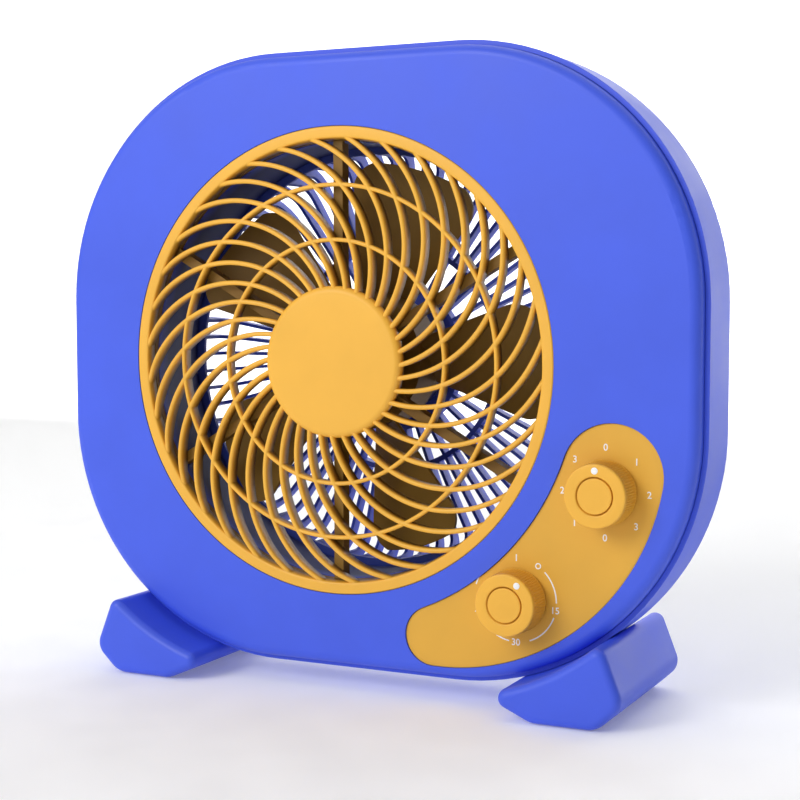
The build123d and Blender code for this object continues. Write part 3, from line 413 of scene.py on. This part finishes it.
# ---------------------------------------------------------------- knobs
def knob(prefix, centre, body, pointer_angle):
    """Fluted knob, the disc let into its face, and the printed pointer dot near its rim."""
    def flute(radius, depth, angle):
        on_side = radius > KNOB_RADIUS - 1.0 and KNOB_FACE + 2.6 < depth < KNOB_BASE - 1.2
        return radius - (FLUTE_DEPTH * (0.5 - 0.5 * cos(FLUTES * angle)) ** 0.6 if on_side else 0.0)

    rim = KNOB_RADIUS - 0.8
    grip = bmesh.new()
    lip = KNOB_CAP + CAP_GAP
    profile = [(0, KNOB_FACE + 1.6), (lip, KNOB_FACE + 1.6), (lip, KNOB_FACE + 0.25)]
    profile += [(lip + 0.25, KNOB_FACE + 0.05), (lip + 0.8, KNOB_FACE)]
    profile += corner(rim - 1.0, KNOB_FACE + 1.0, 1.0, 270, 360)
    profile += [(rim + 0.05, KNOB_FACE + 2.4), (rim + 0.1, KNOB_FACE + 2.8), (rim + 0.3, KNOB_FACE + 6.0)]
    profile += [(rim + 0.55, KNOB_FACE + 11.0), (KNOB_RADIUS - 0.1, KNOB_BASE - 1.6)]
    profile += [(KNOB_RADIUS, KNOB_BASE - 1.0), (KNOB_RADIUS - 0.2, KNOB_BASE)]
    profile += [(KNOB_RADIUS - 3.5, KNOB_BASE), (KNOB_RADIUS - 3.5, KNOB_FACE + 6.0), (0, KNOB_FACE + 6.0)]
    turn_solid(grip, centre, profile, FLUTES * 8, flute)
    grip_piece = new_object(f"{prefix}_knob_grip", grip)
    dress(grip_piece, body, "yellow_plastic", f"{prefix}_knob")

    disc = bmesh.new()
    edge = KNOB_CAP - CAP_GAP
    profile = [(0, KNOB_FACE), (edge - 1.4, KNOB_FACE + 0.02)]
    profile += corner(edge - 0.4, KNOB_FACE + 0.42, 0.4, 270, 360)
    profile += [(edge, KNOB_FACE + 1.5), (0, KNOB_FACE + 1.5)]
    turn_solid(disc, centre, profile, 128)
    disc_piece = new_object(f"{prefix}_knob_disc", disc)
    dress(disc_piece, body, "yellow_plastic", f"{prefix}_knob_cap")

    dot = bmesh.new()
    angle = radians(90 - pointer_angle)
    middle = (centre[0] + DOT_PLACE * MM * cos(angle), centre[1] + DOT_PLACE * MM * sin(angle))
    front, back = KNOB_FACE - 0.08, KNOB_FACE + 0.02
    turn_solid(dot, middle, [(0, front), (DOT_RADIUS - 0.15, front), (DOT_RADIUS, back), (0, back)], 40)
    dot_piece = new_object(f"{prefix}_pointer_dot", dot)
    dress(dot_piece, body, "white_plastic", material=print_white)


knob("speed", SPEED, "speed_knob", 0)
knob("timer", TIMER, "timer_knob", 33)


# ---------------------------------------------------------------- printed scales on the control panel
def printed(name, centre, marks, arcs, ring_mark=None, bar_mark=None):
    """Printed scale round a knob, angles in degrees clockwise from the top.

    marks are (text, angle, radius), arcs are (from, to, radius), ring_mark and bar_mark are (angle, radius).
    """
    layer = bmesh.new()
    front, back = PANEL_FACE - PRINT_RELIEF, PANEL_FACE + 0.02
    for text, angle, radius in marks:
        curve = bpy.data.curves.new(name, "FONT")
        curve.body = text
        curve.align_x, curve.align_y = "CENTER", "CENTER"
        curve.size = NUMERAL_SIZE
        curve.offset = 0.07
        letter = bpy.data.objects.new(name, curve)
        flat = bpy.data.meshes.new_from_object(letter)
        bpy.data.objects.remove(letter)
        x = radius * sin(radians(angle))
        z = radius * cos(radians(angle))
        across = [v.co.x for v in flat.vertices]
        upright = [v.co.y for v in flat.vertices]
        x -= (max(across) + min(across)) / 2
        z -= (max(upright) + min(upright)) / 2
        verts = [layer.verts.new(point(centre, x + v.co.x, front, z + v.co.y)) for v in flat.vertices]
        for polygon in flat.polygons:
            layer.faces.new([verts[i] for i in polygon.vertices])
        bpy.data.meshes.remove(flat)
    for start, end, radius in arcs:
        steps = max(4, int((end - start) / 3))
        rows = []
        for i in range(steps + 1):
            a = radians(start + (end - start) * i / steps)
            rows.append([layer.verts.new(point(centre, r * sin(a), front, r * cos(a)))
                         for r in (radius - ARC_HALF_WIDTH, radius + ARC_HALF_WIDTH)])
        grid_faces(layer, rows, False, False)
    if ring_mark:
        angle, radius = ring_mark
        middle = (centre[0] + radius * MM * sin(radians(angle)), centre[1] + radius * MM * cos(radians(angle)))
        rows = []
        for i in range(32):
            a = 2 * pi * i / 32
            rows.append([layer.verts.new(point(middle, r * sin(a), front, r * cos(a))) for r in OFF_RING])
        grid_faces(layer, rows, True, False)
    if bar_mark:
        angle, radius = bar_mark
        middle = (centre[0] + radius * MM * sin(radians(angle)), centre[1] + radius * MM * cos(radians(angle)))
        half, tall = ON_BAR
        corners = ((-half, -tall), (half, -tall), (half, tall), (-half, tall))
        layer.faces.new([layer.verts.new(point(middle, x, front, z)) for x, z in corners])
    raised = bmesh.ops.extrude_face_region(layer, geom=list(layer.faces))
    moved = [v for v in raised["geom"] if isinstance(v, bmesh.types.BMVert)]
    bmesh.ops.translate(layer, vec=(0, (back - front) * MM, 0), verts=moved)
    piece = new_object(name, layer, smooth=False)
    dress(piece, "housing", "white_plastic", material=print_white)


SPEED_SCALE_RADIUS = 24.5
TIMER_SCALE_RADIUS = 23.6
SPEED_MARKS = [(str(i % 4), 45 * i, SPEED_SCALE_RADIUS) for i in range(8)]
printed("speed_scale", SPEED, SPEED_MARKS, [])
TIMER_MARKS = [(text, angle, TIMER_SCALE_RADIUS) for text, angle in (("15", 100), ("30", 180), ("45", 250))]
TIMER_MARKS += [("60", 322, 25.4)]
TIMER_ARCS = [(start, end, TIMER_SCALE_RADIUS) for start, end in ((45, 90), (110, 160), (190, 238))]
TIMER_ARCS += [(286, 313, 25.0)]
off_mark, on_mark = (33, TIMER_SCALE_RADIUS), (0, TIMER_SCALE_RADIUS)
printed("timer_scale", TIMER, TIMER_MARKS, TIMER_ARCS, ring_mark=off_mark, bar_mark=on_mark)

# ---------------------------------------------------------------- floor, light and camera
floor = bmesh.new()
sweep_line = [(-6.0, 0.0), (2.2, 0.0)]
sweep_line += [(2.2 + 1.6 * sin(radians(a)), 1.6 - 1.6 * cos(radians(a))) for a in range(6, 91, 6)]
sweep_line += [(3.8, 6.0)]
rows = [[floor.verts.new((x, y, z)) for x in (-7.0, 7.0)] for y, z in sweep_line]
grid_faces(floor, rows, False, False)
paper = new_object("paper_sweep", floor)
paper_shade = shade("paper", (0.90, 0.90, 0.90), 0.85, grain=0.4, wear=0.0)
paper_shader = paper_shade.node_tree.nodes["Principled BSDF"]
paper_shader.inputs["Emission Color"].default_value = (1, 1, 1, 1)
paper_shader.inputs["Emission Strength"].default_value = 0.14
paper.data.materials.append(paper_shade)

scene = bpy.context.scene
scene.view_settings.view_transform = "Standard"
world = bpy.data.worlds.new("studio")
world.use_nodes = True
sky = world.node_tree.nodes["Background"]
# the studio's right-hand wall is dimmer than the left
world_nodes, world_links = world.node_tree.nodes, world.node_tree.links
direction = world_nodes.new("ShaderNodeTexCoord")
parts = world_nodes.new("ShaderNodeSeparateXYZ")
dim = world_nodes.new("ShaderNodeMapRange")
dim.inputs["From Min"].default_value = 0.1
dim.inputs["From Max"].default_value = 0.9
dim.inputs["To Min"].default_value = 1.0
dim.inputs["To Max"].default_value = 0.25
world_links.new(direction.outputs["Generated"], parts.inputs["Vector"])
world_links.new(parts.outputs["X"], dim.inputs["Value"])
world_links.new(dim.outputs["Result"], sky.inputs["Color"])
sky.inputs["Strength"].default_value = 0.46
scene.world = world


def softbox(name, place, aim, size, power):
    light = bpy.data.lights.new(name, "AREA")
    light.shape = "RECTANGLE"
    light.size, light.size_y = size
    light.energy = power
    lamp = bpy.data.objects.new(name, light)
    lamp.location = place
    lamp.rotation_euler = (Vector(aim) - Vector(place)).to_track_quat("-Z", "Y").to_euler()
    scene.collection.objects.link(lamp)


softbox("key", (-1.0, -2.0, 1.3), (0, 0, 0.2), (1.2, 1.2), 31)
softbox("overhead", (0.1, 0.7, 2.3), (0, 0.1, 0), (2.6, 2.6), 16)
softbox("backdrop", (0, 1.5, 1.4), (0, 3.8, 1.2), (5.0, 1.6), 150)

TARGET = Vector((0.0275, -0.0315, 0.1709))
AZIMUTH, ELEVATION, DISTANCE = radians(25.8), radians(4.1), 0.911
camera_data = bpy.data.cameras.new("camera")
camera_data.lens = 72.3
camera_data.sensor_width = 36.0
camera_data.clip_start = 0.05
camera_data.clip_end = 60.0
camera = bpy.data.objects.new("camera", camera_data)
back = Vector((sin(AZIMUTH) * cos(ELEVATION), -cos(AZIMUTH) * cos(ELEVATION), sin(ELEVATION)))
camera.location = TARGET + back * DISTANCE
camera.rotation_euler = (-back).to_track_quat("-Z", "Y").to_euler()
scene.collection.objects.link(camera)
scene.camera = camera

bpy.context.view_layer.update()
